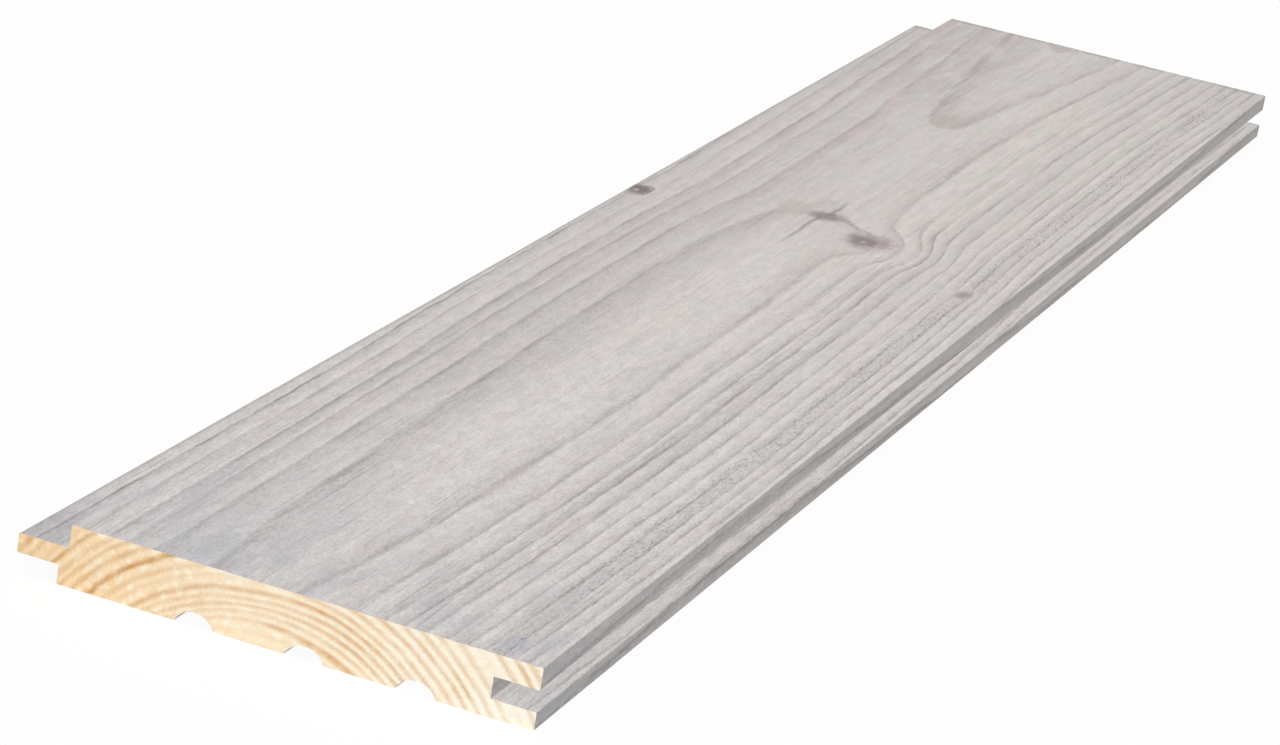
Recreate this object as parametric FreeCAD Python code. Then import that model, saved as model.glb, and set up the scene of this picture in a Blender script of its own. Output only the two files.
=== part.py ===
import FreeCAD
import Part
import os

# Tongue and groove board: one planed length of softwood lining, lying on its back.
# X runs across the board from the tongue to the groove, Y along it, and Z up out of the
# face that shows once it is laid. The origin is on the floor under the middle of the board.
# All sizes are in millimetres.

# The board
LENGTH = 600.0
COVER_WIDTH = 110.0  # what one laid board covers: lower shoulder to the edge of the lips
UPPER_LIP = 5.0  # wood over the groove
GROOVE_WIDTH = 4.8
LOWER_LIP = 4.2  # wood under the groove
ARRIS_RADIUS = 0.4  # the long edges are eased by this much

# The joint: the tongue goes into the groove of a like board
TONGUE_PROJECTION = 10.0  # past the lower shoulder, which butts against the next board
SHADOW_GAP = 2.0  # the upper shoulder is set back by this, so a laid joint shows a gap
SIDE_CLEARANCE = 0.2  # between the tongue and each side of the groove
END_CLEARANCE = 0.3  # between the tongue's tip and the floor of the groove

# The round relief grooves along the back, which stop the board from cupping
RELIEF_WIDTH = 9.2
RELIEF_DEPTH = 3.0
RELIEF_PITCH = 25.5
RELIEF_INSET = 26.6  # from the edge of the lips to the middle of the nearest relief

# Heights of the section, from the floor
thickness = LOWER_LIP + GROOVE_WIDTH + UPPER_LIP
groove_bottom = LOWER_LIP
groove_top = LOWER_LIP + GROOVE_WIDTH
tongue_bottom = groove_bottom + SIDE_CLEARANCE
tongue_top = groove_top - SIDE_CLEARANCE

# Places across the section, with the whole width centred on X = 0
lips_edge = (COVER_WIDTH + TONGUE_PROJECTION) / 2
lower_shoulder = lips_edge - COVER_WIDTH
upper_shoulder = lower_shoulder + SHADOW_GAP
tongue_tip = lower_shoulder - TONGUE_PROJECTION
groove_floor = lips_edge - TONGUE_PROJECTION - END_CLEARANCE


def section_point(x, z):
    """A point of the section, on the near sawn end."""
    return FreeCAD.Vector(x, -LENGTH / 2, z)


def relief_centres():
    """Places of the reliefs, from the tongue's side: as many as leave the inset free at both sides."""
    count = int((COVER_WIDTH - 2 * RELIEF_INSET) // RELIEF_PITCH) + 1
    nearest_lips = lips_edge - RELIEF_INSET
    return [nearest_lips - index * RELIEF_PITCH for index in reversed(range(count))]


def back_edges():
    """The back of the section, from the lower shoulder to the lips: flat strips and round reliefs."""
    edges = []
    here = section_point(lower_shoulder, 0)
    for centre in relief_centres():
        start = section_point(centre - RELIEF_WIDTH / 2, 0)
        crown = section_point(centre, RELIEF_DEPTH)
        end = section_point(centre + RELIEF_WIDTH / 2, 0)
        edges.append(Part.LineSegment(here, start).toShape())
        edges.append(Part.Arc(start, crown, end).toShape())
        here = end
    edges.append(Part.LineSegment(here, section_point(lips_edge, 0)).toShape())
    return edges


def joint_and_face_edges():
    """The rest of the section: up the lips and the groove, over the face, and down round the tongue."""
    corners = [
        section_point(lips_edge, 0),
        section_point(lips_edge, groove_bottom),
        section_point(groove_floor, groove_bottom),
        section_point(groove_floor, groove_top),
        section_point(lips_edge, groove_top),
        section_point(lips_edge, thickness),
        section_point(upper_shoulder, thickness),
        section_point(upper_shoulder, tongue_top),
        section_point(tongue_tip, tongue_top),
        section_point(tongue_tip, tongue_bottom),
        section_point(lower_shoulder, tongue_bottom),
        section_point(lower_shoulder, 0),
    ]
    return [Part.LineSegment(a, b).toShape() for a, b in zip(corners, corners[1:])]


def long_edge(solid, x, z):
    """The edge that runs the whole length of the board through this point of the section."""
    return min(solid.Edges, key=lambda edge: edge.CenterOfMass.distanceToPoint(FreeCAD.Vector(x, 0, z)))


def make_board():
    """The section, run along the board, with its outer long edges eased."""
    section = Part.Face(Part.Wire(back_edges() + joint_and_face_edges()))
    board = section.extrude(FreeCAD.Vector(0, LENGTH, 0))
    eased = [
        long_edge(board, lower_shoulder, 0),
        long_edge(board, lips_edge, 0),
        long_edge(board, lips_edge, groove_bottom),
        long_edge(board, lips_edge, groove_top),
        long_edge(board, lips_edge, thickness),
        long_edge(board, upper_shoulder, thickness),
        long_edge(board, tongue_tip, tongue_top),
        long_edge(board, tongue_tip, tongue_bottom),
    ]
    return board.makeFillet(ARRIS_RADIUS, eased)


os.makedirs("parts", exist_ok=True)
make_board().exportStep("parts/board.step")
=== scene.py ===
import math
import bpy
import bmesh
import numpy as np
from mathutils import Matrix, Vector


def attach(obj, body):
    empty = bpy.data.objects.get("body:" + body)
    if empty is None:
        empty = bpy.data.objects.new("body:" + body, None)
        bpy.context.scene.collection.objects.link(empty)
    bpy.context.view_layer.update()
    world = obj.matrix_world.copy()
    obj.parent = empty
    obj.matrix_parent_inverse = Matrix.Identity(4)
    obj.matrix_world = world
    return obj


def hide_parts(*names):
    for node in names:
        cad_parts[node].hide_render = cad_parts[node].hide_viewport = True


# Tongue and groove board: brushed softwood with a thin grey wash on its long faces and bare
# sawn ends. The mesh is in metres, in the frame of the solid. Places in the wood are written in
# millimetres: X across from the tongue to the groove, Y along, Z up out of the face.

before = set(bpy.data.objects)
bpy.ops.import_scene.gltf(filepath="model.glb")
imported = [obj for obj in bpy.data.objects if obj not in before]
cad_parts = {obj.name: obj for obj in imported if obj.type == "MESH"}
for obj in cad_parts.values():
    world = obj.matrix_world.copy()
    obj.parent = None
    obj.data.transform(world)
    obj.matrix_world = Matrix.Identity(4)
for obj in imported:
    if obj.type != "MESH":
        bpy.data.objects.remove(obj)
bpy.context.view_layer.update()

MM = 0.001
TO_MM = (1000.0, 1000.0, 1000.0)
WHITE = (1.0, 1.0, 1.0, 1.0)
SAME_PLACE = 1e-6  # in metres
END_FINISH = 1  # place of the ends' finish among the mesh's materials

# The mesh: steps between points round the section and between stations along the board
FACE_STEP = 0.45
EDGE_STEP = 0.6
BACK_STEP = 1.6
BACK_HEIGHT = 3.2  # the back and its relief grooves lie below this height
FACE_MARGIN = 0.1  # the face is what lies within this of the top
STATION_STEP = 6.0
KNOT_STATION_STEP = 2.5
KNOT_STRETCH = (-5.0, 85.0)
BRUSH_DEPTH = 0.05  # how far brushing has worn the soft wood below the hard lines
SHARP_ANGLE = 30.0  # in degrees
STRAIGHT_RUN = 1.5  # a longer straight run of the section gets a point close to each of its ends
EDGE_LOOP = 0.06

# The log's heart ran under the board, to the tongue's side of its middle:
# (Y, X of the heart, how far it is below the face)
HEART_LINE = [
    (-300, -5.4, 49.0), (-270, -4.9, 48.4), (-240, -4.4, 47.9), (-200, -4.1, 47.5),
    (-150, -4.2, 47.2), (-100, -4.9, 47.1), (-50, -5.2, 47.1), (-10, -5.5, 47.4),
    (20, -6.0, 48.3), (40, -6.7, 49.22), (50, -7.0, 49.74), (57, -7.3, 50.02),
    (75, -7.8, 50.2), (100, -8.2, 50.3), (130, -8.4, 50.27), (150, -8.6, 50.2),
    (160, -8.7, 50.14), (166, -8.8, 50.01), (170, -8.9, 49.86), (175, -9.0, 49.73),
    (185, -9.1, 49.57), (200, -9.2, 49.32), (230, -8.9, 48.6), (260, -8.6, 47.6), (300, -8.3, 46.4),
]
FACE_HEIGHT = 14.0
FACE_EDGE = (13.0, 13.6)  # heights between which a side becomes the face

# How much further out the outer rings lie along the board, on each side of the heart
GROOVE_SIDE_SPREAD = [
    (-300, 0.45), (-220, 0.05), (-140, 0.0), (-60, -0.1), (-10, -0.3), (40, 0.2), (90, 1.15), (130, 1.25),
    (210, 1.3), (270, 1.05), (300, 0.95),
]
TONGUE_SIDE_SPREAD = [(-300, 0.3), (-180, 0.3), (-100, 0.85), (40, 0.9), (120, 1.5), (210, 1.7), (300, 1.9)]

# Growth rings of the face: radius of a ring's dark edge and how dark it is,
# first on the tongue's side of the heart, then on the groove's side
FACE_RINGS = [
    (34.0, 0.5, 34.0, 0.5), (36.0, 0.5, 36.0, 0.5), (38.0, 0.6, 38.0, 0.6), (40.0, 0.9, 40.0, 0.9),
    (41.6, 0.6, 41.6, 0.6), (43.0, 0.7, 43.0, 0.7), (44.4, 0.6, 44.4, 0.6), (45.6, 0.6, 45.6, 0.6),
    (46.6, 0.35, 46.6, 0.35), (49.9, 0.7, 50.05, 0.48), (53.7, 0.65, 53.7, 0.5), (57.1, 0.5, 57.1, 0.55),
    (59.3, 0.8, 59.3, 0.9), (62.7, 0.42, 62.1, 0.7), (66.5, 0.85, 65.3, 0.5), (69.6, 0.2, 68.5, 0.45),
    (71.3, 0.6, 71.3, 0.62), (74.0, 0.6, 74.0, 0.68), (76.2, 0.6, 76.2, 0.55), (78.6, 0.6, 78.6, 0.6),
    (81.6, 0.6, 81.6, 0.6), (85.0, 0.6, 85.0, 0.6),
]

# Growth rings of the sawn ends, listed in the same order
END_RINGS = [
    (34.0, 0.2, 34.0, 0.2), (36.8, 0.2, 36.8, 0.2), (39.2, 0.2, 39.0, 0.2), (41.8, 0.3, 41.5, 1.3),
    (43.5, 0.35, 43.6, 0.45), (45.0, 0.5, 45.5, 0.65), (46.7, 0.4, 47.4, 0.65), (48.5, 0.75, 49.4, 0.85),
    (51.1, 0.22, 51.2, 0.5), (53.1, 0.36, 53.3, 0.5), (55.85, 1.0, 55.65, 0.55), (58.8, 0.55, 58.05, 0.62),
    (61.1, 0.45, 60.2, 0.7), (62.9, 0.35, 62.55, 0.45), (65.5, 0.75, 65.3, 0.45), (67.4, 0.25, 68.5, 0.12),
    (69.8, 0.55, 71.2, 0.6), (72.1, 0.65, 74.2, 0.68), (75.0, 0.6, 76.5, 0.5), (78.0, 0.6, 79.3, 0.6),
    (81.0, 0.6, 82.0, 0.6),
]

# Rings that fade past the knots on the groove's side: radii where one begins and ends, and what is
# left there of its late wood and of its line
FADED_RINGS = [((54.3, 55.0, 57.2, 57.6), 0.2, 0.65), ((57.2, 57.6, 59.6, 61.0), 0.35, 0.1)]

# How the edge of a ring strays sideways: size of the strays, shift of their noise, and strength
RING_STRAYS = [
    ((9.0, 45.0, 9.0), (0.0, 0.0, 0.0), 1.3),
    ((2.5, 16.0, 2.5), (2.2, 5.1, 8.3), 0.8),
    ((0.7, 5.0, 0.7), (7.4, 0.6, 3.9), 0.9),
]


def colour(red, green, blue):
    """A colour written in the 0 to 255 steps of a screen, as the linear values that shaders take."""
    def linear(value):
        share = value / 255
        return share / 12.92 if share <= 0.04045 else ((share + 0.055) / 1.055) ** 2.4
    return (linear(red), linear(green), linear(blue), 1.0)


# Shape of the board

def end_outline(mesh):
    """The section's outline, in order, from the triangles that close the solid's near end."""
    near_y = min(vertex.co.y for vertex in mesh.vertices)
    mesh.calc_loop_triangles()
    points = [(round(v.co.x, 7), round(v.co.z, 7)) for v in mesh.vertices]
    on_end = [abs(v.co.y - near_y) < SAME_PLACE for v in mesh.vertices]
    steps = set()
    for triangle in mesh.loop_triangles:
        corners = list(triangle.vertices)
        if all(on_end[corner] for corner in corners):
            for a, b in zip(corners, corners[1:] + corners[:1]):
                steps.add((points[a], points[b]))
    following = {a: b for a, b in steps if (b, a) not in steps}
    start = min(following)
    outline = [start]
    while following[outline[-1]] != start:
        outline.append(following[outline[-1]])
    return outline


def step_at(z, top):
    """How far apart the section's points may be at a height."""
    if z > top - FACE_MARGIN * MM:
        return FACE_STEP * MM
    if z < BACK_HEIGHT * MM:
        return BACK_STEP * MM
    return EDGE_STEP * MM


def fine_outline(outline):
    """The outline with its straight runs divided into short steps."""
    top = max(z for x, z in outline)
    fine = []
    for (x0, z0), (x1, z1) in zip(outline, outline[1:] + outline[:1]):
        length = math.hypot(x1 - x0, z1 - z0)
        count = max(1, round(length / step_at((z0 + z1) / 2, top)))
        shares = [index / count for index in range(count)]
        if length > STRAIGHT_RUN * MM:
            beside = EDGE_LOOP * MM / length
            shares = [0.0, beside] + shares[1:] + [1.0 - beside]
        for share in shares:
            fine.append((x0 + (x1 - x0) * share, z0 + (z1 - z0) * share))
    return np.array(fine)


def stations(near, far):
    """Places along the board where the section is repeated, closer together round the knots."""
    knots_near, knots_far = (y * MM for y in KNOT_STRETCH)
    runs = [
        (near, knots_near, STATION_STEP),
        (knots_near, knots_far, KNOT_STATION_STEP),
        (knots_far, far, STATION_STEP),
    ]
    places = []
    for start, end, step in runs:
        count = max(1, round((end - start) / (step * MM)))
        places.extend(start + (end - start) * index / count for index in range(count))
    return np.array(places + [far])


def inward_directions(outline):
    """A unit direction into the wood at each point of the outline."""
    ahead = np.roll(outline, -1, axis=0) - outline
    behind = outline - np.roll(outline, 1, axis=0)
    ahead /= np.linalg.norm(ahead, axis=1)[:, None]
    behind /= np.linalg.norm(behind, axis=1)[:, None]
    along = ahead + behind
    along /= np.linalg.norm(along, axis=1)[:, None]
    turned = np.stack([-along[:, 1], along[:, 0]], axis=1)
    area = np.sum(outline[:, 0] * np.roll(outline[:, 1], -1) - outline[:, 1] * np.roll(outline[:, 0], -1))
    return turned if area > 0 else -turned


def section_points(outline, places):
    """The section's points at every station along the board."""
    points = np.zeros((len(places), len(outline), 3))
    points[:, :, 0] = outline[None, :, 0]
    points[:, :, 1] = places[:, None]
    points[:, :, 2] = outline[None, :, 1]
    return points.reshape(-1, 3).tolist()


def skin_faces(station_count, round_count):
    """Faces between the stations, then the near and the far end."""
    index = np.arange(station_count * round_count).reshape(station_count, round_count)
    here = index[:-1]
    here_next = np.roll(here, -1, axis=1)
    beyond = index[1:]
    beyond_next = np.roll(beyond, -1, axis=1)
    quads = np.stack([here, here_next, beyond_next, beyond], axis=2).reshape(-1, 4)
    return quads.tolist() + [index[0][::-1].tolist(), index[-1].tolist()]


def keep_inward(mesh, inward, station_count):
    """Stores each point's direction into the wood on the mesh, for the brushing."""
    directions = np.zeros((station_count, len(inward), 3), dtype=np.float32)
    directions[:, :, 0] = inward[None, :, 0]
    directions[:, :, 2] = inward[None, :, 1]
    attribute = mesh.attributes.new("inward", "FLOAT_VECTOR", "POINT")
    attribute.data.foreach_set("vector", directions.ravel())


def close_ends(mesh):
    """Gives the two ends, which are the last faces, their own finish and divides them into triangles."""
    shape = bmesh.new()
    shape.from_mesh(mesh)
    shape.faces.ensure_lookup_table()
    for face in shape.faces[-2:]:
        face.material_index = END_FINISH
    bmesh.ops.triangulate(shape, faces=shape.faces[-2:])
    bmesh.ops.recalc_face_normals(shape, faces=shape.faces)
    shape.to_mesh(mesh)
    shape.free()


def make_board_mesh(cad_mesh):
    """The board as one closed mesh: its section repeated along its length, and two sawn ends."""
    outline = fine_outline(end_outline(cad_mesh))
    along = [vertex.co.y for vertex in cad_mesh.vertices]
    places = stations(min(along), max(along))
    mesh = bpy.data.meshes.new("board")
    mesh.from_pydata(section_points(outline, places), [], skin_faces(len(places), len(outline)))
    keep_inward(mesh, inward_directions(outline), len(places))
    close_ends(mesh)
    for polygon in mesh.polygons:
        polygon.use_smooth = True
    mesh.set_sharp_from_angle(angle=math.radians(SHARP_ANGLE))
    return mesh


# Nodes: short ways to add and link them, in a material, a group or the brushing of the mesh

class Wiring:
    """Adds nodes to one tree. A value given to a socket is a number, a colour or another socket."""

    def __init__(self, tree):
        self.tree = tree
        self.in_geometry = tree.bl_idname == "GeometryNodeTree"

    def feed(self, socket, value):
        if isinstance(value, bpy.types.NodeSocket):
            self.tree.links.new(value, socket)
        else:
            socket.default_value = value

    def add(self, kind, inputs, **settings):
        node = self.tree.nodes.new(kind)
        for name, value in settings.items():
            setattr(node, name, value)
        for key, value in inputs.items():
            self.feed(node.inputs[key], value)
        return node

    def math(self, operation, *values):
        return self.add("ShaderNodeMath", dict(enumerate(values)), operation=operation).outputs[0]

    def vector(self, operation, *values):
        return self.add("ShaderNodeVectorMath", dict(enumerate(values)), operation=operation).outputs[0]

    def length(self, vector):
        return self.add("ShaderNodeVectorMath", {0: vector}, operation="LENGTH").outputs["Value"]

    def split(self, vector):
        return self.add("ShaderNodeSeparateXYZ", {0: vector}).outputs

    def join(self, x, y, z):
        return self.add("ShaderNodeCombineXYZ", {0: x, 1: y, 2: z}).outputs[0]

    def span(self, value, low, high, out_low=0.0, out_high=1.0, smooth=True):
        """The value's place between low and high, from out_low to out_high, eased if smooth."""
        kind = "SMOOTHSTEP" if smooth else "LINEAR"
        inputs = {"Value": value, "From Min": low, "From Max": high, "To Min": out_low, "To Max": out_high}
        return self.add("ShaderNodeMapRange", inputs, interpolation_type=kind).outputs[0]

    def times(self, first, *others):
        """All the values multiplied together."""
        product = first
        for value in others:
            product = self.math("MULTIPLY", product, value)
        return product

    def fall(self, value, low, high):
        """1 up to low and 0 from high on."""
        return self.span(value, low, high, 1.0, 0.0)

    def band(self, value, low, low_full, high_full, high):
        """1 between low_full and high_full, 0 outside low and high."""
        return self.times(self.span(value, low, low_full), self.fall(value, high_full, high))

    def less(self, mask, least):
        """1 where the mask is 0, down to the least where it is 1."""
        return self.span(mask, 0.0, 1.0, 1.0, least, smooth=False)

    def curve(self, value, points, handles="AUTO_CLAMPED"):
        """A smooth line through given points (value, result)."""
        low, high = points[0][0], points[-1][0]
        least = min(result for place, result in points)
        most = max(result for place, result in points)
        share = self.span(value, low, high, smooth=False)
        node = self.add("ShaderNodeFloatCurve", {"Value": share})
        line = node.mapping.curves[0]
        while len(line.points) < len(points):
            line.points.new(0.5, 0.5)
        for dot, (place, result) in zip(line.points, points):
            dot.location = ((place - low) / (high - low), (result - least) / (most - least))
            dot.handle_type = handles
        node.mapping.update()
        return self.span(node.outputs[0], 0.0, 1.0, least, most, smooth=False)

    def noise(self, place, stretch, detail=2.0, roughness=0.5, shift=(0, 0, 0)):
        """Noise about 0.5, whose features are about as large as stretch, in the units of place."""
        scaled = self.vector("DIVIDE", place, stretch)
        moved = self.vector("ADD", scaled, shift)
        inputs = {"Vector": moved, "Scale": 1.0, "Detail": detail, "Roughness": roughness}
        return self.add("ShaderNodeTexNoise", inputs).outputs[0]

    def mix(self, share, first, second, blend="MIX"):
        inputs = {0: share, 6: first, 7: second}
        node = self.add("ShaderNodeMix", inputs, data_type="RGBA", blend_type=blend, clamp_factor=True)
        return node.outputs[2]

    def mix_value(self, share, first, second):
        return self.add("ShaderNodeMix", {0: share, 2: first, 3: second}, data_type="FLOAT").outputs[0]

    def group(self, group, **inputs):
        kind = "GeometryNodeGroup" if self.in_geometry else "ShaderNodeGroup"
        node = self.tree.nodes.new(kind)
        node.node_tree = group
        for name, value in inputs.items():
            self.feed(node.inputs[name.replace("_", " ").capitalize()], value)
        return node.outputs


def new_group(name, tree_kind, inputs, outputs):
    """An empty node group with named sockets: its tree, its inputs and its outputs."""
    tree = bpy.data.node_groups.new(name, tree_kind)
    for socket, kind in inputs.items():
        tree.interface.new_socket(socket, in_out="INPUT", socket_type="NodeSocket" + kind)
    for socket, kind in outputs.items():
        tree.interface.new_socket(socket, in_out="OUTPUT", socket_type="NodeSocket" + kind)
    return tree, tree.nodes.new("NodeGroupInput").outputs, tree.nodes.new("NodeGroupOutput").inputs


# The wood itself: groups that the finishes share

def between_edges(w, radius, rings, groove_side, crest):
    """Place between two ring edges, and width and darkness of the ring that ends at the outer one."""
    def by_side(value, tongue_points, groove_points):
        on_tongue_side = w.curve(value, list(tongue_points), "VECTOR")
        on_groove_side = w.curve(value, list(groove_points), "VECTOR")
        return w.mix_value(groove_side, on_tongue_side, on_groove_side)

    def widths(edges):
        steps = [after - before for before, after in zip(edges, edges[1:])]
        return enumerate(steps[:1] + steps)

    tongue_edges, tongue_darks, groove_edges, groove_darks = zip(*rings)
    numbers = range(len(rings))
    count = by_side(radius, zip(tongue_edges, numbers), zip(groove_edges, numbers))
    count = w.math("ADD", count, crest)
    number = w.math("FLOOR", count)
    width = by_side(number, widths(tongue_edges), widths(groove_edges))
    dark = by_side(number, enumerate(tongue_darks), enumerate(groove_darks))
    return w.math("FRACT", count), width, dark


def beside_heart(w, given):
    """Place across and up from the heart line, and along the board."""
    x, y, z = w.split(given["Place"])
    shift_x, shift_y, shift_z = w.split(given["Heart shift"])
    heart_x = w.curve(y, [(place, across) for place, across, depth in HEART_LINE])
    heart_z = w.curve(y, [(place, FACE_HEIGHT - depth) for place, across, depth in HEART_LINE])
    across = w.math("SUBTRACT", w.math("SUBTRACT", x, heart_x), shift_x)
    up = w.math("SUBTRACT", w.math("SUBTRACT", z, heart_z), shift_z)
    return across, up, y


def ring_spread(w, y, distance, across):
    """How much further out the rings lie here than their radii say."""
    further_out = w.span(distance, 68.0, 74.0, 1.0, 1.3)
    by_groove = w.times(w.curve(y, GROOVE_SIDE_SPREAD), further_out, w.span(distance, 52.5, 60.5))
    by_tongue = w.times(w.curve(y, TONGUE_SIDE_SPREAD), w.span(distance, 53.5, 62.5))
    return w.mix_value(w.span(across, -2.0, 2.0), by_tongue, by_groove)


def ring_strays(w, place):
    """How far the edge of a ring strays sideways here."""
    sideways = 0.0
    for stretch, shift, strength in RING_STRAYS:
        stray = w.math("SUBTRACT", w.noise(place, stretch, shift=shift), 0.5)
        sideways = w.math("MULTIPLY_ADD", stray, strength, sideways)
    return sideways


def ring_radius(w, given, y, distance, across, slope, along_face):
    """The distance from the heart, less what swelling, spreading and straying add to it."""
    spread = w.times(ring_spread(w, y, distance, across), along_face)
    radius = w.math("SUBTRACT", w.math("SUBTRACT", distance, given["Swell"]), spread)
    least_slope = w.math("MAXIMUM", slope, 0.04)
    radius = w.math("MULTIPLY_ADD", ring_strays(w, given["Place"]), least_slope, radius)
    flatter = w.times(w.span(slope, 0.08, 0.36, 0.65, 0.0), w.span(distance, 43.0, 48.0))
    return w.math("MULTIPLY_ADD", flatter, given["Sawn end"], radius)


def fade_past_knots(w, y, radius, groove_side, late, line):
    """Takes most of the late wood and some of the line from the rings that fade past the knots."""
    past_knots = w.times(w.span(y, 45.0, 85.0), w.span(y, 160.0, 230.0, 1.0, 0.6), groove_side)
    for radii, late_left, line_left in FADED_RINGS:
        faded = w.times(w.band(radius, *radii), past_knots)
        late = w.times(late, w.less(faded, late_left))
        line = w.times(line, w.less(faded, line_left))
    return late, line


def growth_rings_group(tree_kind):
    """Growth rings round the heart line: how late the wood is, the ring's dark line, and its first wood."""
    inputs = {
        "Place": "Vector", "Heart shift": "Vector", "Swell": "Float", "Softness": "Float",
        "Late reach": "Float", "Sawn end": "Float",
    }
    outputs = {"Late wood": "Float", "Ring line": "Float", "First wood": "Float"}
    tree, given, result = new_group("growth rings", tree_kind, inputs, outputs)
    w = Wiring(tree)
    across, up, y = beside_heart(w, given)
    distance = w.length(w.join(across, 0.0, up))
    slope = w.math("DIVIDE", w.math("ABSOLUTE", across), distance)
    along_face = w.math("SUBTRACT", 1.0, given["Sawn end"])
    shallow = w.times(w.fall(slope, 0.0, 0.3), along_face)
    radius = ring_radius(w, given, y, distance, across, slope, along_face)
    groove_side = w.span(across, -10.0, 10.0)
    crest = w.math("SUBTRACT", 1.0, w.times(given["Softness"], w.less(shallow, 0.1)))
    on_face = between_edges(w, radius, FACE_RINGS, groove_side, crest)
    on_end = between_edges(w, radius, END_RINGS, groove_side, crest)
    phase, width, dark = (w.mix_value(given["Sawn end"], face, end) for face, end in zip(on_face, on_end))
    to_edge = w.times(w.math("MAXIMUM", w.math("SUBTRACT", crest, phase), 0.0), width)
    # A ring marked darker than 1 is broad and paler
    broader = w.span(dark, 1.0, 1.3, 1.0, 2.0)
    paler = w.span(dark, 1.0, 1.3, 1.0, 0.68)
    strength = w.times(w.fall(phase, crest, 1.0), w.times(dark, paler))
    reach = w.times(given["Late reach"], w.less(shallow, 0.22), broader)
    late = w.math("POWER", w.fall(to_edge, 0.0, reach), 1.2)
    late = w.times(late, strength, w.span(shallow, 0.5, 1.0, 1.0, 1.9))
    thin = w.span(shallow, 0.0, 1.0, 0.6, 0.06, smooth=False)
    line = w.times(w.fall(to_edge, w.times(thin, 0.13), thin), strength)
    late, line = fade_past_knots(w, y, radius, groove_side, late, line)
    w.feed(result["Late wood"], late)
    w.feed(result["Ring line"], line)
    w.feed(result["First wood"], w.fall(phase, 0.05, 0.35))
    return tree


def branch_knot_group():
    """One knot: a branch that leans as it rises, its ragged core and a soft halo round it."""
    inputs = {"Place": "Vector", "Centre": "Vector", "Lean": "Float", "Size": "Vector"}
    outputs = {"Core": "Float", "Halo": "Float"}
    tree, given, result = new_group("branch knot", "ShaderNodeTree", inputs, outputs)
    w = Wiring(tree)
    x, y, z = w.split(w.vector("SUBTRACT", given["Place"], given["Centre"]))
    straight = w.join(w.math("SUBTRACT", x, w.times(z, given["Lean"])), y, 0.0)
    ragged = w.noise(given["Place"], (2.4, 3.2, 6.0), detail=2.0)
    ragged = w.span(ragged, 0.0, 1.0, -0.4, 0.4, smooth=False)
    from_core = w.math("ADD", w.length(w.vector("DIVIDE", straight, given["Size"])), ragged)
    w.feed(result["Core"], w.fall(from_core, 0.35, 1.15))
    w.feed(result["Halo"], w.fall(from_core, 0.7, 2.3))
    return tree


def grain_swell_group(tree_kind):
    """How far the rings swell outwards round a branch."""
    inputs = {"Place": "Vector", "Centre": "Vector", "Reach": "Vector", "Lift": "Float"}
    tree, given, result = new_group("grain swell", tree_kind, inputs, {"Swell": "Float"})
    w = Wiring(tree)
    x, y, z = w.split(w.vector("SUBTRACT", given["Place"], given["Centre"]))
    away = w.length(w.vector("DIVIDE", w.join(x, y, 0.0), given["Reach"]))
    spread = w.math("ADD", w.math("POWER", away, 4.0), 1.0)
    w.feed(result["Swell"], w.math("DIVIDE", given["Lift"], spread))
    return tree


def streaks_group():
    """Fine and broad streaks of a given size, and crisp specks: fibres or saw marks."""
    inputs = {"Place": "Vector", "Size": "Vector"}
    outputs = {"Fine": "Float", "Broad": "Float", "Specks": "Float"}
    tree, given, result = new_group("streaks", "ShaderNodeTree", inputs, outputs)
    w = Wiring(tree)
    w.feed(result["Fine"], w.noise(given["Place"], given["Size"], detail=3.0, roughness=0.6))
    broad = w.vector("MULTIPLY", given["Size"], (4.0, 4.0, 4.0))
    w.feed(result["Broad"], w.noise(given["Place"], broad, detail=2.0, shift=(3.1, 7.7, 1.9)))
    specks = w.noise(given["Place"], given["Size"], detail=1.0, shift=(6.3, 0.8, 4.4))
    w.feed(result["Specks"], w.span(specks, 0.36, 0.64))
    return tree


# Knots: centre at the surface, lean of the branch, size across and along, colour and strength
KNOTS = [
    ((14.6, 36.4, 14.0), 0.35, (7.8, 9.0), colour(154, 143, 141), 0.95),
    ((12.6, 34.9, 14.0), 0.35, (5.6, 6.2), colour(132, 121, 121), 0.9),
    ((12.9, 34.2, 14.0), 0.0, (0.7, 1.0), colour(176, 166, 164), 0.6),
    ((-3.4, 48.6, 14.0), 0.05, (6.2, 5.0), colour(138, 129, 128), 0.95),
    ((-12.5, 49.5, 14.0), 0.0, (4.6, 10.0), colour(184, 178, 170), 0.75),
    ((-8.6, 176.5, 14.0), 0.0, (4.6, 10.5), colour(182, 171, 168), 0.8),
    ((-8.2, 297.5, 14.0), 0.0, (3.4, 5.5), colour(172, 164, 163), 0.6),
    ((49.4, 11.3, 14.0), 0.9, (2.3, 5.0), colour(146, 140, 140), 0.85),
    ((-57.0, 45.2, 8.8), -1.2, (5.0, 6.2), colour(118, 111, 108), 1.0),
    ((-57.6, 44.0, 8.8), 0.0, (0.6, 1.0), colour(188, 181, 177), 0.8),
]

# Where the rings swell round a branch: centre, reach across and along, and lift
SWELLS = [
    {"Centre": (19.0, 33.5, 14.0), "Reach": (15.0, 15.5, 1.0), "Lift": 3.6},
    {"Centre": (49.5, 10.0, 14.0), "Reach": (4.0, 7.0, 1.0), "Lift": 0.5},
    {"Centre": (-57.0, 46.0, 8.8), "Reach": (9.0, 12.0, 1.0), "Lift": 0.6},
]

# A fine crack and its tail, as (Y, X), and the brown arc between two knots, as (X, Y)
CRACK_LINE = [(6, -5.0), (19, -4.5), (28, -4.2), (37, -4.6), (49, -4.0)]
CRACK_TAIL = [(49, -2.6), (54, -2.5), (63, -2.6), (72, -3.0)]
BROWN_ARC = [(-1, 50.4), (0.5, 50.1), (4, 48.3), (8, 44.4), (10, 42.6)]

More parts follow.
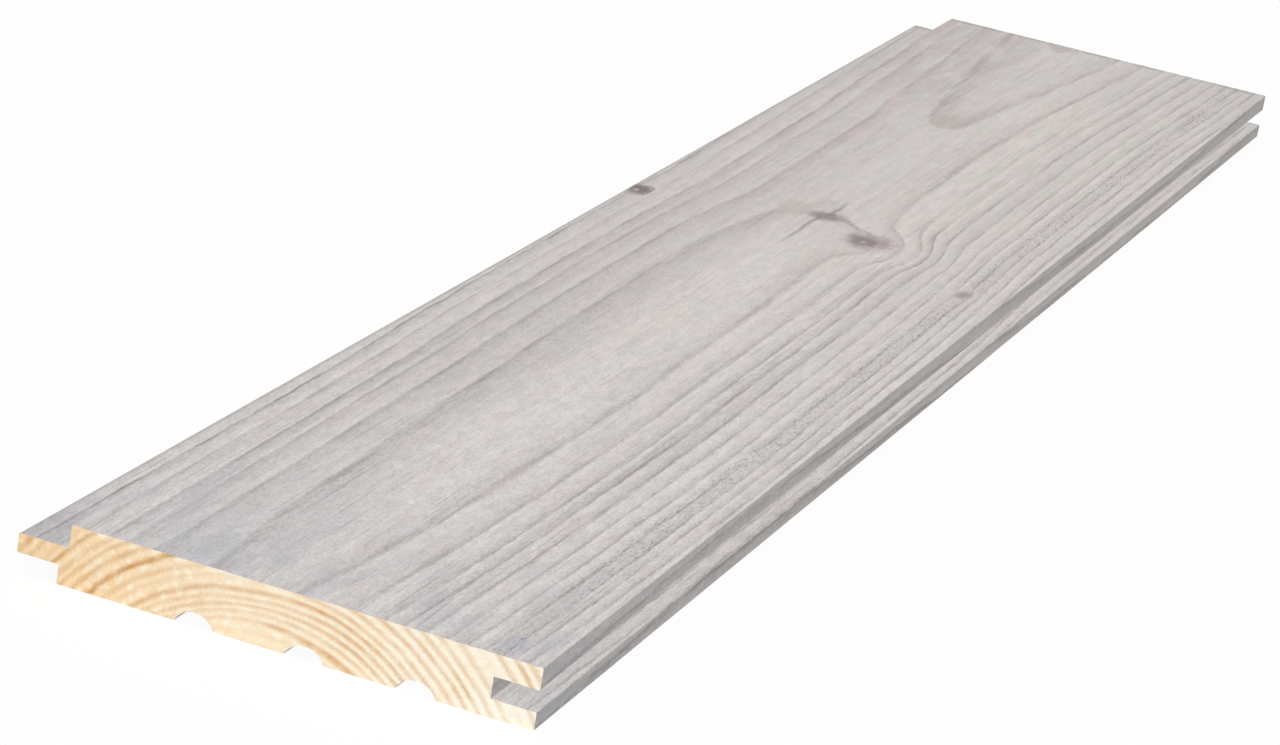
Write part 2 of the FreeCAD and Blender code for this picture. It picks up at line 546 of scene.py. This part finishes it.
# How the two cuts of the log show its rings: along the face, and across it on the sawn ends
FACE_CUT = {"Heart_shift": (0.0, 0.0, 0.0), "Softness": 0.1, "Late_reach": 2.4, "Sawn_end": 0.0}
END_CUT = {"Heart_shift": (5.0, 0.0, -1.4), "Softness": 0.45, "Late_reach": 1.1, "Sawn_end": 1.0}


def whole_swell(w, place, swell_group):
    """The rings' swelling round every branch together."""
    whole = 0.0
    for values in SWELLS:
        whole = w.math("ADD", w.group(swell_group, Place=place, **values)["Swell"], whole)
    return whole


def place_in_mm(w):
    """Where a point of the surface is in the board, in millimetres."""
    coordinates = w.tree.nodes.new("ShaderNodeTexCoord")
    return w.vector("MULTIPLY", coordinates.outputs["Object"], TO_MM)


def new_material(name):
    """A new material, the wiring of its nodes and its Principled shader."""
    material = bpy.data.materials.new(name)
    material.use_nodes = True
    tree = material.node_tree
    return material, Wiring(tree), tree.nodes["Principled BSDF"]


# Finishes

COOL_PALE = colour(212, 207, 205)
WARM_PALE = colour(208, 201, 197)
DULL_PALE = colour(195, 189, 188)
FAR_DULL = colour(188, 182, 180)
COOL_LATE = colour(180, 175, 175)
WARM_LATE = colour(182, 173, 170)
ROSE_LATE = colour(182, 167, 164)
RING_LINE = colour(147, 139, 138)
GREEN_WASH = colour(198, 197, 190)
ROSE_WASH = colour(203, 189, 188)
NEAR_SHADE = colour(179, 178, 182)
BLUE_STAIN = colour(170, 172, 181)
FLECK = colour(140, 138, 143)
CRACK = colour(128, 120, 120)
ROSE_HALO = colour(196, 183, 182)
# Painted light that lifts the shade inside the groove
GROOVE_PAINTED_LIGHT = colour(224, 221, 218)
# Cooler tone of the sides, which also lightens them a little as painted light against their shade
COOL_SIDE_AND_PAINTED_LIGHT = colour(213, 212, 212)
TONGUE_EDGE = colour(172, 166, 164)
# Painted shade along the face's far edge
FAR_EDGE_PAINTED_SHADE = colour(150, 151, 154)
# A painted highlight on the arris over the groove
ARRIS_PAINTED_HIGHLIGHT = colour(226, 222, 219)

FIBRE_SIZE = (0.5, 12.0, 0.5)
WASH_SPECK_SIZE = (0.55, 1.5, 0.55)
TINT_ALONG = [(-300, 0.9), (-150, 0.6), (50, 0.7), (170, 1.7), (300, 1.6)]  # (Y, strength of the tints)
COARSE_TO_FINE = (-290.0, 150.0)  # the wash is speckled most at the near end
KNOT_HALO = 0.25
WASH_ROUGHNESS = 0.62
WASH_SHINE = 0.3
WASH_BUMP = 0.2
BUMP_HEIGHT = 0.0001


def shaded(w, base, effects):
    """The colour made lighter and darker by several noises, each with its own strength."""
    shade = 1.0
    for noise, strength in effects:
        shade = w.math("MULTIPLY_ADD", w.math("SUBTRACT", noise, 0.5), strength, shade)
    return w.mix(1.0, base, w.join(shade, shade, shade), "MULTIPLY")


def streaky(w, share, streak, strength):
    """A smooth share broken into streaks, most where it is neither full nor empty."""
    room = w.times(share, w.math("SUBTRACT", 1.0, share))
    change = w.times(w.math("SUBTRACT", streak, 0.5), strength)
    return w.math("MULTIPLY_ADD", change, room, share)


def smear(w, x, y):
    """1 where a ring runs out beside the crack and its edge is smeared."""
    return w.times(w.band(y, 42.0, 52.0, 66.0, 76.0), w.band(x, -22.0, -16.0, 0.0, 6.0))


def beside_knots(w, x, y):
    """1 on the tongue's side of the knots, where the rings are faint."""
    return w.times(w.band(y, -5.0, 25.0, 85.0, 130.0), w.band(x, -50.0, -47.0, -20.0, -12.0))


def worn_beside_groove(w, x, z):
    """1 in the worn, flecked strip of the face beside the groove."""
    return w.times(w.band(x, 46.3, 48.5, 51.0, 53.5), w.span(z, *FACE_EDGE))


def near_heart(w, x, y):
    """How much of the cool grey over the heart there is here, at most 0.5 at the near end."""
    across = w.times(w.span(x, -14.0, 4.0, 1.0, 0.06), w.span(x, -42.0, -26.0, 0.4, 1.0))
    return w.times(w.span(y, -312.0, -180.0, 0.5, 0.0), across)


def ring_fading(w, x, y, left_by_knots):
    """Low where the rings are faint: in the smear, by the knots, over the heart and at the near end."""
    over_heart = w.span(near_heart(w, x, y), 0.1, 0.45, 1.0, 0.6, smooth=False)
    at_near_end = w.span(y, -300.0, -235.0, 0.75, 1.0)
    by_knots = w.less(beside_knots(w, x, y), left_by_knots)
    return w.times(w.less(smear(w, x, y), 0.25), by_knots, over_heart, at_near_end)


def early_wood(w, x, y, warm):
    """Colour of the early wood: duller by the tongue, past the knots, in one strip and at the far end."""
    by_tongue = w.times(w.fall(x, -16.0, -6.0), w.span(y, -290.0, -110.0))
    by_tongue = w.times(by_tongue, w.span(x, -46.0, -39.0, 0.35, 1.0))
    at_far_end = w.span(y, 190.0, 290.0, 0.0, 0.6)
    past_knots = w.times(w.fall(x, -4.0, 16.0), w.span(y, -10.0, 50.0, 0.0, 0.6))
    strip = w.times(w.span(x, 29.0, 32.0), w.span(x, 35.0, 38.0, 0.6, 0.0), w.span(y, -240.0, -150.0))
    dull = by_tongue
    for other in (at_far_end, past_knots, strip):
        dull = w.math("MAXIMUM", dull, other)
    dull = w.times(dull, w.span(y, 180.0, 280.0, 0.85, 1.1))
    early = w.mix(dull, w.mix(warm, COOL_PALE, WARM_PALE), DULL_PALE)
    far_dull = w.times(w.span(x, -18.0, -9.0, 0.9, 0.0), w.span(y, 165.0, 220.0))
    return w.mix(far_dull, early, FAR_DULL)


def late_wood(w, x, y, warm):
    """Colour of the late wood: rosy past the knots, away from the groove."""
    rosy = w.times(w.span(y, -20.0, 60.0), w.fall(x, 24.0, 32.0))
    return w.mix(rosy, w.mix(warm, COOL_LATE, WARM_LATE), ROSE_LATE)


def late_share(w, place, ring, fibres):
    """How much of the late wood's colour shows, in streaks."""
    x, y, z = w.split(place)
    patch = w.span(w.noise(place, (4.0, 45.0, 4.0), shift=(1.1, 6.2, 2.7)), 0.3, 0.7, 0.5, 1.0)
    share = w.times(ring["Late wood"], patch, ring_fading(w, x, y, 0.8))
    worn_strip = w.times(worn_beside_groove(w, x, z), w.span(y, -290.0, -180.0, 0.42, 0.35))
    return streaky(w, w.math("MAXIMUM", share, worn_strip), fibres["Fine"], 8.0)


def cloudy_tints(w, place, y, base):
    """Clouds of a green and a rose tint in the wash."""
    tinted = w.curve(y, TINT_ALONG)
    green = w.span(w.noise(place, (5.0, 22.0, 5.0), shift=(9.2, 4.3, 2.4)), 0.45, 0.7, 0.0, 0.45)
    base = w.mix(w.times(green, tinted), base, GREEN_WASH)
    rose = w.span(w.noise(place, (4.0, 18.0, 4.0), shift=(3.8, 8.6, 0.9)), 0.5, 0.72, 0.0, 0.4)
    return w.mix(w.times(rose, tinted), base, ROSE_WASH)


def near_end_tones(w, place, fibres, wash, base):
    """The cool grey over the heart and the blue stain at the near end, both in streaks."""
    x, y, z = w.split(place)
    base = w.mix(streaky(w, near_heart(w, x, y), fibres["Broad"], 6.0), base, NEAR_SHADE)
    stain = w.span(w.noise(place, (6.0, 22.0, 6.0), shift=(0.7, 5.8, 6.9)), 0.46, 0.64)
    stain = w.times(stain, w.span(y, -300.0, -220.0, 0.42, 0.0))
    return w.mix(streaky(w, stain, wash["Broad"], 7.0), base, BLUE_STAIN)


def edge_tones(w, place, base):
    """Cooler sides with some painted light, painted shade on the far edge, painted light in the groove, a
    shaded tongue and a painted highlight on the arris over the groove.
    """
    x, y, z = w.split(place)
    # Cooler sides, most at the near end, also lightened a little as painted light against their shade
    side_tone_and_light = w.times(w.fall(z, *FACE_EDGE), w.span(y, -300.0, -150.0, 0.4, 0.2))
    # Painted shade in patches along the far edge of the face
    shade_patches = w.span(w.noise(place, (7.0, 7.0, 7.0), shift=(2.9, 3.7, 8.8)), 0.42, 0.6, 0.1, 0.7)
    far_shade_share = w.times(shade_patches, w.span(y, 295.5, 299.5))
    # Painted light inside the groove against its shade, strongest on its back wall and away from the near
    # end
    groove_light_share = w.times(w.band(z, 4.0, 4.1, 9.0, 9.1), w.span(x, 49.4, 49.6))
    groove_light_share = w.times(groove_light_share, w.span(x, 49.8, 50.6, 0.55, 0.25), w.span(y, -250.0, -50.0, 1.0, 1.7))
    near_tongue = w.times(w.span(x, -52.0, -48.0, 0.75, 0.0), w.fall(y, -294.0, -255.0))
    tongue_edge = w.times(w.span(x, -59.7, -58.4, 0.8, 0.15), w.fall(x, -52.0, -50.0))
    # A painted highlight along the arris over the groove
    arris = w.times(w.span(z, 13.5, 13.8), w.span(x, 59.2, 59.6, 0.0, 0.4))
    tones = [
        (side_tone_and_light, COOL_SIDE_AND_PAINTED_LIGHT), (far_shade_share, FAR_EDGE_PAINTED_SHADE), (groove_light_share, GROOVE_PAINTED_LIGHT),
        (near_tongue, NEAR_SHADE), (tongue_edge, TONGUE_EDGE), (arris, ARRIS_PAINTED_HIGHLIGHT),
    ]
    for share, tone in tones:
        base = w.mix(share, base, tone)
    return base


def washed_tones(w, place, ring, fibres, wash):
    """The wash over early and late wood, cooler at the near end, with its tints, a blue stain, and its
    edges with their painted light and shade.
    """
    x, y, z = w.split(place)
    tone = w.math("SUBTRACT", w.noise(place, (8.0, 90.0, 8.0), shift=(5.2, 1.3, 0.4)), 0.5)
    warm = w.math("MULTIPLY_ADD", tone, 1.6, w.span(y, -340.0, 160.0, 0.0, 0.95))
    share = late_share(w, place, ring, fibres)
    base = w.mix(share, early_wood(w, x, y, warm), late_wood(w, x, y, warm))
    base = cloudy_tints(w, place, y, base)
    base = near_end_tones(w, place, fibres, wash, base)
    return edge_tones(w, place, base)


def draw_ring_lines(w, place, ring, base):
    """The dark line at the edge of each ring, broken along the board, and fine dark streaks."""
    x, y, z = w.split(place)
    dashes = w.noise(place, (1.6, 26.0, 1.6), detail=3.0, shift=(4.7, 3.3, 6.1))
    line = w.times(ring["Ring line"], w.span(dashes, 0.36, 0.64, 0.1, 0.9), ring_fading(w, x, y, 0.55))
    darker_on_tongue = w.span(x, -52.0, -50.0, 1.5, 1.0)
    line = w.times(line, darker_on_tongue, w.span(y, -250.0, 150.0, 1.0, 0.85))
    base = w.mix(line, base, RING_LINE)
    streak = w.noise(place, (0.5, 42.0, 0.5), detail=2.0, shift=(6.6, 2.2, 5.5))
    streak = w.times(w.span(streak, 0.58, 0.75, 0.0, 0.35), w.span(y, -300.0, -190.0, 1.7, 1.0))
    return w.mix(streak, base, RING_LINE)


def draw_flecks(w, place, ring, base):
    """Dark flecks in the late wood, on the ring lines by the groove and in the worn strip beside it."""
    x, y, z = w.split(place)
    flecks = w.noise(place, (0.5, 2.2, 0.5), detail=2.0, shift=(1.7, 2.9, 4.1))
    gaps = w.span(w.noise(place, (5.0, 24.0, 5.0), shift=(4.4, 9.1, 1.2)), 0.34, 0.6, 0.15, 0.6)
    in_strip = w.times(worn_beside_groove(w, x, z), gaps)
    on_lines = w.times(ring["Ring line"], w.span(x, 36.0, 44.0, 0.0, 0.3), w.span(z, *FACE_EDGE))
    where = w.math("ADD", w.span(ring["Late wood"], 0.15, 0.6, 0.04, 0.34), in_strip)
    where = w.math("ADD", where, on_lines)
    return w.mix(w.times(w.span(flecks, 0.5, 0.68), where), base, FLECK)


def thin_line(w, along, across, points, half_width, fade_in, fade_out):
    """A thin line through given points (along, across) that fades in and out over the given lengths."""
    off = w.math("ABSOLUTE", w.math("SUBTRACT", across, w.curve(along, points)))
    body = w.fall(off, 0.0, half_width)
    starts = w.span(along, points[0][0], points[0][0] + fade_in)
    stops = w.fall(along, points[-1][0] - fade_out, points[-1][0])
    return w.times(body, starts, stops)


def draw_knots(w, place, knots, base):
    """Knots with rose halos, and the fine crack, its tail and the brown arc that join them."""
    x, y, z = w.split(place)
    on_face = w.span(z, *FACE_EDGE)
    jitter = w.math("SUBTRACT", w.noise(place, (3.0, 5.0, 3.0), shift=(8.1, 1.4, 2.6)), 0.5)
    shaky = w.math("MULTIPLY_ADD", jitter, 1.2, x)
    crack = thin_line(w, y, shaky, CRACK_LINE, half_width=1.0, fade_in=30.0, fade_out=3.0)
    tail = thin_line(w, y, shaky, CRACK_TAIL, half_width=1.1, fade_in=2.0, fade_out=16.0)
    arc = thin_line(w, x, y, BROWN_ARC, half_width=2.4, fade_in=2.0, fade_out=3.0)
    for centre, lean, (across, along), tint, share in KNOTS:
        knot = w.group(knots, Place=place, Centre=centre, Lean=lean, Size=(across, along, 1.0))
        base = w.mix(w.times(knot["Halo"], KNOT_HALO), base, ROSE_HALO)
        base = w.mix(w.times(knot["Core"], share), base, tint)
    for line, share in ((crack, 0.65), (tail, 0.7), (arc, 0.35)):
        base = w.mix(w.times(line, on_face, share), base, CRACK)
    return base


def set_surface(w, shader, base, roughness, shine, height, bump_strength):
    """Feeds a finish's shader: its colour, how dull it is and its fine bumps."""
    w.feed(shader.inputs["Base Color"], base)
    shader.inputs["Roughness"].default_value = roughness
    shader.inputs["Specular IOR Level"].default_value = shine
    bump = w.add("ShaderNodeBump", {"Height": height, "Strength": bump_strength, "Distance": BUMP_HEIGHT})
    w.feed(shader.inputs["Normal"], bump.outputs[0])


def washed_softwood(rings, swells, knots, streaks):
    """The long faces: brushed softwood under a thin grey wash that lets the grain through."""
    material, w, shader = new_material("grey washed softwood")
    place = place_in_mm(w)
    x, y, z = w.split(place)
    swell = whole_swell(w, place, swells)
    ring = w.group(rings, Place=place, Swell=swell, **FACE_CUT)
    fibres = w.group(streaks, Place=place, Size=FIBRE_SIZE)
    wash = w.group(streaks, Place=place, Size=WASH_SPECK_SIZE)
    base = washed_tones(w, place, ring, fibres, wash)
    base = draw_ring_lines(w, place, ring, base)
    base = draw_flecks(w, place, ring, base)
    base = draw_knots(w, place, knots, base)
    # Paler first wood after each ring line; the extra by the tongue at the near end is a painted highlight
    # on the ridges
    first = w.math("ADD", w.times(ring["First wood"], 0.5), 0.5)
    by_tongue = w.times(w.fall(x, -32.0, -22.0), w.fall(y, -110.0, 20.0))
    whiter = w.span(by_tongue, 0.0, 1.0, 0.06, 0.12, smooth=False)
    effects = [
        (fibres["Fine"], 0.25), (fibres["Broad"], 0.2), (first, whiter),
        (wash["Fine"], w.span(y, *COARSE_TO_FINE, 0.28, 0.19)),
        (wash["Broad"], w.span(y, *COARSE_TO_FINE, 0.38, 0.2)),
        (wash["Specks"], w.span(y, *COARSE_TO_FINE, 0.12, 0.05)),
    ]
    base = shaded(w, base, effects)
    height = w.math("ADD", w.times(ring["Late wood"], 0.5), fibres["Fine"])
    set_surface(w, shader, base, WASH_ROUGHNESS, WASH_SHINE, height, WASH_BUMP)
    return material


YELLOW_CREAM = colour(246, 215, 170)
PALE_CREAM = colour(255, 246, 226)
LIP_CREAM = colour(255, 250, 235)
WHITE_CREAM = colour(255, 247, 224)
PEACH = colour(247, 214, 176)
ORANGE_LINE = colour(200, 143, 72)
TAN_LINE = colour(219, 175, 123)
BLOTCH = colour(226, 180, 116)

SAW_MARK_SIZE = (0.5, 1.0, 0.5)
# Along X: how pale the early wood of the ends is, and how strong their rings are
END_PALE = [(-60, 0.0), (-28, 0.3), (-8, 0.55), (18, 0.68), (32, 0.95), (60, 1.0)]
END_RING_STRENGTH = [(-60, 0.85), (-30, 0.85), (-8, 0.64), (4, 0.76), (14, 1.0), (60, 0.95)]
END_ROUGHNESS = 0.7
END_SHINE = 0.25
END_BUMP = 0.3


def bare_early_wood(w, place, saw):
    """Colour of the early wood on the ends: yellower by the tongue, whiter in streaks, with a patchy
    painted highlight along the top edge.
    """
    x, y, z = w.split(place)
    early = w.mix(w.curve(x, END_PALE), YELLOW_CREAM, PALE_CREAM)
    white = w.times(w.span(saw["Broad"], 0.48, 0.66, 0.0, 0.7), w.span(x, -56.0, -24.0, 0.45, 1.0))
    early = w.mix(white, early, WHITE_CREAM)
    peach = w.noise(place, (2.2, 2.2, 1.6), shift=(5.9, 2.1, 7.3))
    early = w.mix(w.span(peach, 0.5, 0.7, 0.0, 0.25), early, PEACH)
    # A patchy painted highlight along the top edge of the end
    top_edge_highlight = w.span(w.noise(place, (3.0, 3.0, 2.0), shift=(0.4, 7.5, 5.1)), 0.42, 0.6, 0.0, 0.7)
    early = w.mix(w.times(top_edge_highlight, w.span(z, 12.4, 13.8)), early, WHITE_CREAM)
    on_lip = w.times(w.span(x, 40.0, 50.0, 0.0, 0.7), w.fall(z, 4.0, 6.0))
    return w.mix(on_lip, early, LIP_CREAM)


def bare_end_grain(rings, streaks):
    """The sawn ends: bare pine, cream with tan rings, yellower towards the tongue."""
    material, w, shader = new_material("bare end grain")
    place = place_in_mm(w)
    x, y, z = w.split(place)
    ring = w.group(rings, Place=place, Swell=0.0, **END_CUT)
    saw = w.group(streaks, Place=place, Size=SAW_MARK_SIZE)
    late = w.mix(w.span(x, -52.0, 40.0, smooth=False), ORANGE_LINE, TAN_LINE)
    patch = w.span(w.noise(place, (4.0, 4.0, 3.0), shift=(8.2, 6.6, 0.7)), 0.3, 0.7, 0.65, 1.2)
    share = w.times(ring["Late wood"], w.curve(x, END_RING_STRENGTH), patch)
    base = w.mix(streaky(w, share, saw["Fine"], 3.0), bare_early_wood(w, place, saw), late)
    blotch = w.noise(place, (2.8, 2.8, 2.8), shift=(1.3, 4.9, 3.2))
    blotch = w.times(w.span(blotch, 0.5, 0.75, 0.0, 0.3), w.span(x, -50.0, 20.0, 1.0, 0.1))
    base = w.mix(blotch, base, BLOTCH)
    base = shaded(w, base, [(saw["Fine"], 0.16), (saw["Specks"], 0.06)])
    set_surface(w, shader, base, END_ROUGHNESS, END_SHINE, saw["Fine"], END_BUMP)
    return material


def brush_relief(board):
    """Wears the soft early wood of the long faces below the hard late wood, in the mesh itself."""
    rings = growth_rings_group("GeometryNodeTree")
    swells = grain_swell_group("GeometryNodeTree")
    sockets = {"Board": "Geometry"}
    tree, given, result = new_group("brushing", "GeometryNodeTree", sockets, sockets)
    w = Wiring(tree)
    position = tree.nodes.new("GeometryNodeInputPosition").outputs[0]
    place = w.vector("MULTIPLY", position, TO_MM)
    swell = whole_swell(w, place, swells)
    ring = w.group(rings, Place=place, Swell=swell, **FACE_CUT)
    inward = w.add("GeometryNodeInputNamedAttribute", {"Name": "inward"}, data_type="FLOAT_VECTOR")
    worn = w.span(ring["Late wood"], 0.0, 0.8, BRUSH_DEPTH * MM, 0.0)
    offset = w.vector("MULTIPLY", inward.outputs[0], w.join(worn, worn, worn))
    moved = w.add("GeometryNodeSetPosition", {"Geometry": given["Board"], "Offset": offset})
    w.feed(result["Board"], moved.outputs[0])
    board.modifiers.new("brushing", "NODES").node_group = tree
    seen = board.evaluated_get(bpy.context.evaluated_depsgraph_get())
    brushed = bpy.data.meshes.new_from_object(seen)
    board.modifiers.clear()
    board.data = brushed
    board.data.attributes.remove(board.data.attributes["inward"])


def make_board():
    """The board with its two finishes, standing for the solid."""
    mesh = make_board_mesh(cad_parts["board"].data)
    rings = growth_rings_group("ShaderNodeTree")
    swells = grain_swell_group("ShaderNodeTree")
    knots = branch_knot_group()
    streaks = streaks_group()
    mesh.materials.append(washed_softwood(rings, swells, knots, streaks))
    mesh.materials.append(bare_end_grain(rings, streaks))
    board = bpy.data.objects.new("washed_board", mesh)
    bpy.context.scene.collection.objects.link(board)
    brush_relief(board)
    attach(board, "root")
    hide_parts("board")


# Floor, light and camera

FLOOR_SIZE = 12.0
FLOOR_WHITE = 1.0
FLOOR_BOUNCE = 0.72  # how pale the floor is for the light that it throws back at the board
FLOOR_GLOW = 0.7  # how much of the floor, as the camera sees it, is plain white
SKY_STRENGTH = 0.4
FRONT_STRENGTH = 2.27
FRONT_SIZE = 30.0  # in degrees
FRONT_FROM = (-0.2, -0.58, 0.79)


def camera_sees(w):
    """1 where a ray comes from the camera, a mirror or glass, for a plain white background."""
    path = w.tree.nodes.new("ShaderNodeLightPath").outputs
    seen = w.math("MAXIMUM", path["Is Camera Ray"], path["Is Glossy Ray"])
    return w.math("MAXIMUM", seen, path["Is Transmission Ray"])


def make_floor():
    """A plain white floor that keeps the board's soft shadow."""
    half = FLOOR_SIZE / 2
    mesh = bpy.data.meshes.new("floor")
    corners = [(-half, -half, 0.0), (half, -half, 0.0), (half, half, 0.0), (-half, half, 0.0)]
    mesh.from_pydata(corners, [], [(0, 1, 2, 3)])
    floor = bpy.data.objects.new("floor", mesh)
    bpy.context.scene.collection.objects.link(floor)
    material, w, shader = new_material("white floor")
    w.tree.nodes.remove(shader)
    seen = camera_sees(w)
    pale = w.span(seen, 0.0, 1.0, FLOOR_BOUNCE, FLOOR_WHITE, smooth=False)
    matt = w.add("ShaderNodeBsdfDiffuse", {"Color": pale})
    glow = w.add("ShaderNodeEmission", {"Color": WHITE, "Strength": 1.0})
    share = w.times(seen, FLOOR_GLOW)
    mixed = w.add("ShaderNodeMixShader", {0: share, 1: matt.outputs[0], 2: glow.outputs[0]})
    w.feed(w.tree.nodes["Material Output"].inputs["Surface"], mixed.outputs[0])
    mesh.materials.append(material)


def light_studio():
    """Even light from all round, whose shadows stay, and a soft lamp from the front that throws none."""
    world = bpy.data.worlds.new("studio")
    bpy.context.scene.world = world
    world.use_nodes = True
    w = Wiring(world.node_tree)
    strength = w.span(camera_sees(w), 0.0, 1.0, SKY_STRENGTH, 1.0, smooth=False)
    w.feed(world.node_tree.nodes["Background"].inputs["Strength"], strength)
    world.node_tree.nodes["Background"].inputs["Color"].default_value = WHITE
    lamp = bpy.data.lights.new("front", "SUN")
    lamp.energy = FRONT_STRENGTH
    lamp.angle = math.radians(FRONT_SIZE)
    lamp.use_shadow = False
    front = bpy.data.objects.new("front", lamp)
    front.rotation_euler = Vector(FRONT_FROM).to_track_quat("Z", "Y").to_euler()
    bpy.context.scene.collection.objects.link(front)


CAMERA_AZIMUTH = 18.87
CAMERA_ELEVATION = 18.75
CAMERA_ROLL = 9.33
CAMERA_DISTANCE = 1.1121
CAMERA_LENS = 124.2
CAMERA_SENSOR = 36.0
CAMERA_TARGET = (-0.00655, -0.07624, 0.0)


def make_camera():
    """The photograph's view: from the groove's side of the near end, tilted a little."""
    data = bpy.data.cameras.new("camera")
    data.sensor_fit = "HORIZONTAL"
    data.sensor_width = CAMERA_SENSOR
    data.lens = CAMERA_LENS
    camera = bpy.data.objects.new("camera", data)
    turn = Matrix.Rotation(math.radians(CAMERA_AZIMUTH), 4, "Z")
    pitch = Matrix.Rotation(math.radians(90.0 - CAMERA_ELEVATION), 4, "X")
    roll = Matrix.Rotation(math.radians(CAMERA_ROLL), 4, "Z")
    aim = turn @ pitch @ roll
    back = aim.to_3x3() @ Vector((0.0, 0.0, 1.0))
    camera.matrix_world = Matrix.Translation(Vector(CAMERA_TARGET) + back * CAMERA_DISTANCE) @ aim
    bpy.context.scene.collection.objects.link(camera)
    bpy.context.scene.camera = camera


make_board()
make_floor()
light_studio()
make_camera()
bpy.context.scene.view_settings.view_transform = "Standard"
